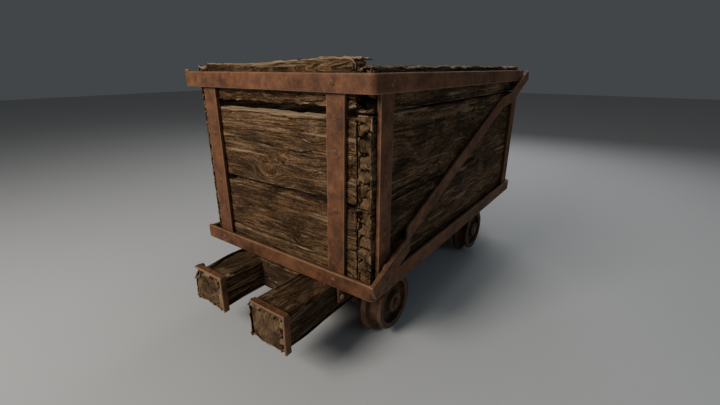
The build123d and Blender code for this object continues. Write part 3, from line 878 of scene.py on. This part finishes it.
barLook = {
    "waveDepth": 6 * mm,
    "edgeWear": 11 * mm,
    "edgeReach": 10 * mm,
    "ridgeDepth": 4.5 * mm,
    "crackCount": 14,
    "crackWidth": 3.4 * mm,
    "crackReach": (0.3, 1.0),
    "endStyle": "streaks",
    "pitchAlong": 7.5 * mm,
}
axleLines = [joint["pos_m"][1] for joint in frame["joints"]]
notchEdges = [
    y + sign * half
    for y in axleLines
    for sign in (-1, 1)
    for half in (barNotch["half"], barNotch["half"] + barNotch["step"])
]
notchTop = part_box("front_left_bearing_block")[1].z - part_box("left_sole_bar")[0].z


def notched(u, w):
    # the underside is raised over each bearing block
    height = np.zeros(len(u))
    for y in axleLines:
        over = np.abs(u - y) < barNotch["half"] + barNotch["step"] / 2
        height = np.maximum(height, notchTop * over)
    return height


for side, wear in (("left", wornBarTop), ("right", hollowedBarTop)):
    look = {**barLook, "extraWear": wear}
    roughTimber(f"{side}SoleBar", f"{side}_sole_bar", 1, seed, notched, None, notchEdges, look)
    seed += seedStep
for end in ("front", "rear"):
    look = {"ridgeDepth": 3 * mm, "crackCount": 4}
    roughTimber(f"{end}CrossTimber", f"{end}_cross_timber", 0, seed, look=look)
    seed += seedStep
print("timber made")

# worn iron: a fine remesh of the CAD solid, softened, pitted and dented
ironWear = {
    "strap_iron": {"voxel": 3.0 * mm, "smooth": 1, "pitting": 0.5 * mm, "dents": 1.0 * mm},
    "cast_iron": {"voxel": 3.0 * mm, "smooth": 2, "pitting": 0.7 * mm, "dents": 0.8 * mm},
}
wearCells = {"pits": 55.0, "dents": 9.0}  # noise cells per metre


def loadMerged(work, mesh):
    # a CAD mesh is loose triangles, so its doubles are merged in the working copy
    work.from_mesh(mesh)
    bmesh.ops.remove_doubles(work, verts=work.verts, dist=0.01 * mm)


def wornCopy(name, node, seed):
    k = ironWear[slotOf[node]]
    mesh = frame["nodes"][node].data.copy()
    mesh.name = name
    work = bmesh.new()
    loadMerged(work, mesh)
    work.to_mesh(mesh)
    work.free()
    piece = addObject(name, mesh)
    remesh = piece.modifiers.new("remesh", "REMESH")
    remesh.mode = "VOXEL"
    remesh.voxel_size = k["voxel"]
    soften = piece.modifiers.new("soften", "SMOOTH")
    soften.factor = 0.5
    soften.iterations = k["smooth"]
    depsgraph = bpy.context.evaluated_depsgraph_get()
    made = bpy.data.meshes.new_from_object(piece.evaluated_get(depsgraph))
    piece.modifiers.clear()
    piece.data = made
    count = len(made.vertices)
    places = np.empty(count * 3)
    made.vertices.foreach_get("co", places)
    places = places.reshape(-1, 3)
    normals = np.empty(count * 3)
    made.vertex_normals.foreach_get("vector", normals)
    normals = normals.reshape(-1, 3)
    pits = layeredNoise(places * wearCells["pits"] + seed, seed, 3)
    dents = layeredNoise(places * wearCells["dents"] + seed, seed + 3, 2)
    places = places + normals * (k["pitting"] * pits + k["dents"] * dents)[:, None]
    made.vertices.foreach_set("co", places.ravel())
    made.polygons.foreach_set("use_smooth", [True] * len(made.polygons))
    made.update()
    settle(piece, node)


def camel(node):
    head, *rest = node.split("_")
    return head + "".join(word.capitalize() for word in rest)


for index, node in enumerate(sorted(frame["nodes"])):
    if slotOf[node] in ironWear:
        wornCopy(camel(node), node, index)
print("worn iron made")


# rivet heads, and the riveted ends on their roves, set on points by Geometry Nodes
def islands(node):
    # the corner points of each separate solid in a node, in an order that stays the same
    work = bmesh.new()
    loadMerged(work, frame["nodes"][node].data)
    left = dict.fromkeys(work.verts)
    found = []
    while left:
        stack = [left.popitem()[0]]
        group = []
        while stack:
            vertex = stack.pop()
            group.append(vertex.co.copy())
            for edge in vertex.link_edges:
                other = edge.other_vert(vertex)
                if other in left:
                    del left[other]
                    stack.append(other)
        found.append(group)
    work.free()
    return found


shortestShank = 30 * mm


def rivetEnds(node):
    # outer end and outward direction of each shank, and the same for its inner end
    middle = (cadBox[0] + cadBox[1]) / 2
    heads, tails = [], []
    for group in islands(node):
        low = Vector([min(p[axis] for p in group) for axis in range(3)])
        high = Vector([max(p[axis] for p in group) for axis in range(3)])
        size = high - low
        axis = max(range(3), key=lambda a: size[a])
        if size[axis] < shortestShank:  # a rove, not a rivet
            continue
        centre = (low + high) / 2
        sign = 1 if abs(high[axis] - middle[axis]) > abs(low[axis] - middle[axis]) else -1
        facing = Vector([sign if a == axis else 0 for a in range(3)])
        heads.append((centre + facing * size[axis] / 2, facing))
        tails.append((centre - facing * size[axis] / 2, -facing))
    return heads, tails


def addSocket(tree, label, kind, value):
    socket = tree.interface.new_socket(label, in_out="INPUT", socket_type=kind)
    if value is not None:
        socket.default_value = value


def rivetTree():
    tree = bpy.data.node_groups.new("rivetHeads", "GeometryNodeTree")
    tree.interface.new_socket("Geometry", in_out="INPUT", socket_type="NodeSocketGeometry")
    tree.interface.new_socket("Geometry", in_out="OUTPUT", socket_type="NodeSocketGeometry")
    addSocket(tree, "Head radius", "NodeSocketFloat", 9 * mm)
    addSocket(tree, "Head height", "NodeSocketFloat", 5 * mm)
    addSocket(tree, "Size spread", "NodeSocketFloat", 0.08)
    addSocket(tree, "Seed", "NodeSocketInt", 5)
    addSocket(tree, "Material", "NodeSocketMaterial", None)
    nodes, links = tree.nodes, tree.links
    source = nodes.new("NodeGroupInput")
    result = nodes.new("NodeGroupOutput")
    ball = nodes.new("GeometryNodeMeshUVSphere")
    ball.inputs["Segments"].default_value = 20
    ball.inputs["Rings"].default_value = 12
    ball.inputs["Radius"].default_value = 1.0
    facing = nodes.new("GeometryNodeInputNamedAttribute")
    facing.data_type = "FLOAT_VECTOR"
    facing.inputs["Name"].default_value = "facing"
    turn = nodes.new("FunctionNodeAlignRotationToVector")
    turn.axis = "Z"
    links.new(facing.outputs["Attribute"], turn.inputs["Vector"])
    spread = nodes.new("FunctionNodeRandomValue")
    spread.data_type = "FLOAT"
    lowest = nodes.new("ShaderNodeMath")
    lowest.operation = "SUBTRACT"
    lowest.inputs[0].default_value = 1.0
    highest = nodes.new("ShaderNodeMath")
    highest.operation = "ADD"
    highest.inputs[0].default_value = 1.0
    links.new(source.outputs["Size spread"], lowest.inputs[1])
    links.new(source.outputs["Size spread"], highest.inputs[1])
    links.new(lowest.outputs[0], spread.inputs[2])
    links.new(highest.outputs[0], spread.inputs[3])
    links.new(source.outputs["Seed"], spread.inputs["Seed"])
    shape = nodes.new("ShaderNodeCombineXYZ")
    links.new(source.outputs["Head radius"], shape.inputs["X"])
    links.new(source.outputs["Head radius"], shape.inputs["Y"])
    links.new(source.outputs["Head height"], shape.inputs["Z"])
    scaled = nodes.new("ShaderNodeVectorMath")
    scaled.operation = "SCALE"
    links.new(shape.outputs[0], scaled.inputs[0])
    links.new(spread.outputs[1], scaled.inputs["Scale"])
    place = nodes.new("GeometryNodeInstanceOnPoints")
    links.new(source.outputs["Geometry"], place.inputs["Points"])
    links.new(ball.outputs["Mesh"], place.inputs["Instance"])
    links.new(turn.outputs["Rotation"], place.inputs["Rotation"])
    links.new(scaled.outputs["Vector"], place.inputs["Scale"])
    real = nodes.new("GeometryNodeRealizeInstances")
    smooth = nodes.new("GeometryNodeSetShadeSmooth")
    paint = nodes.new("GeometryNodeSetMaterial")
    links.new(place.outputs["Instances"], real.inputs["Geometry"])
    links.new(real.outputs["Geometry"], smooth.inputs["Geometry"])
    links.new(smooth.outputs["Geometry"], paint.inputs["Geometry"])
    links.new(source.outputs["Material"], paint.inputs["Material"])
    links.new(paint.outputs["Geometry"], result.inputs["Geometry"])
    return tree


rivetTreeMade = rivetTree()
sinkShare = 0.9


def setRivets(name, spots, sizes):
    # each ball's middle is near the foot of its head, so that about half of it is sunk
    mesh = bpy.data.meshes.new(name)
    sink = sizes["Head height"] * sinkShare
    sunk = [spot - facing * sink for spot, facing in spots]
    mesh.from_pydata([tuple(p) for p in sunk], [], [])
    facing = mesh.attributes.new("facing", "FLOAT_VECTOR", "POINT")
    facing.data.foreach_set("vector", [number for _, direction in spots for number in direction])
    piece = addObject(name, mesh)
    modifier = piece.modifiers.new("rivets", "NODES")
    modifier.node_group = rivetTreeMade
    sockets = rivetTreeMade.interface.items_tree
    keys = {item.name: item.identifier for item in sockets if item.in_out == "INPUT"}
    for label, value in sizes.items():
        modifier[keys[label]] = value
    modifier[keys["Material"]] = materials["fixing_iron"]
    depsgraph = bpy.context.evaluated_depsgraph_get()
    made = bpy.data.meshes.new_from_object(piece.evaluated_get(depsgraph))
    piece.modifiers.clear()
    piece.data = made
    return piece


headSizes = {"Head radius": 9 * mm, "Head height": 5.5 * mm, "Size spread": 0.10, "Seed": 5}
tailSizes = {"Head radius": 13 * mm, "Head height": 3.0 * mm, "Size spread": 0.05, "Seed": 9}
for node in ("wall_rivets", "brace_rivets"):
    heads, tails = rivetEnds(node)
    for label, spots, sizes in (("Heads", heads, headSizes), ("Tails", tails, tailSizes)):
        settle(setRivets(camel(node) + label, spots, sizes), node)
    print(node, len(heads), "rivets")

stageLook = {
    "half": 15.0,
    "shade": (0.62, 0.62, 0.61),
    "sky": (0.80, 0.85, 0.90, 1),
    "ambient": 0.08,
}
half = stageLook["half"]
corners = [(-half, -half, 0), (half, -half, 0), (half, half, 0), (-half, half, 0)]
floorMesh = bpy.data.meshes.new("studioFloor")
floorMesh.from_pydata(corners, [], [(0, 1, 2, 3)])
floor = addObject("studioFloor", floorMesh)
floorShader = Shader("studioFloor")
mottle = floorShader.noise(floorShader.node("TexCoord", None, None, 3), 3.0)
shade = stageLook["shade"]
floorColour = floorShader.mix(mottle, shade, tuple(c * 1.05 for c in shade))
floorMesh.materials.append(floorShader.finish(floorColour, 0.9, mottle, 0.02))
floor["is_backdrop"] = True
world = bpy.data.worlds.new("studio")
bpy.context.scene.world = world
world.use_nodes = True
background = world.node_tree.nodes["Background"]
background.inputs["Color"].default_value = stageLook["sky"]
background.inputs["Strength"].default_value = stageLook["ambient"]

lamps = {
    "keyLamp": {"place": (-0.6, -3.35, 2.4), "size": 1.3, "power": 88, "colour": (1.0, 0.96, 0.90)},
    "rimLamp": {"place": (-0.3, 2.8, 2.6), "size": 2.2, "power": 42, "colour": (0.95, 0.97, 1.0)},
    "sideFill": {"place": (3.4, -0.3, 1.6), "size": 2.6, "power": 9, "colour": (0.58, 0.82, 1.0)},
}
aim = Vector((0, 0, 0.5))  # the lamps point at the middle of the hopper
for name, k in lamps.items():
    lamp = bpy.data.lights.new(name, "AREA")
    lamp.size = k["size"]
    lamp.energy = k["power"]
    lamp.color = k["colour"]
    holder = addObject(name, lamp)
    holder.location = k["place"]
    holder.rotation_euler = (aim - holder.location).to_track_quat("-Z", "Y").to_euler()

cameraLook = {
    "place": (0.942, -1.449, 0.945),
    "tilt": 70.22,
    "turn": 35.93,
    "lens": 18.73,
    "sensor": 36,
}
cameraData = bpy.data.cameras.new("camera")
cameraData.lens = cameraLook["lens"]
cameraData.sensor_width = cameraLook["sensor"]
camera = addObject("camera", cameraData)
camera.location = cameraLook["place"]
camera.rotation_euler = (math.radians(cameraLook["tilt"]), 0, math.radians(cameraLook["turn"]))
bpy.context.scene.camera = camera
print("floor, lamps and camera set")

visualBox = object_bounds()
sizes = {"cad": [list(c) for c in cadBox], "visual": [list(c) for c in visualBox]}
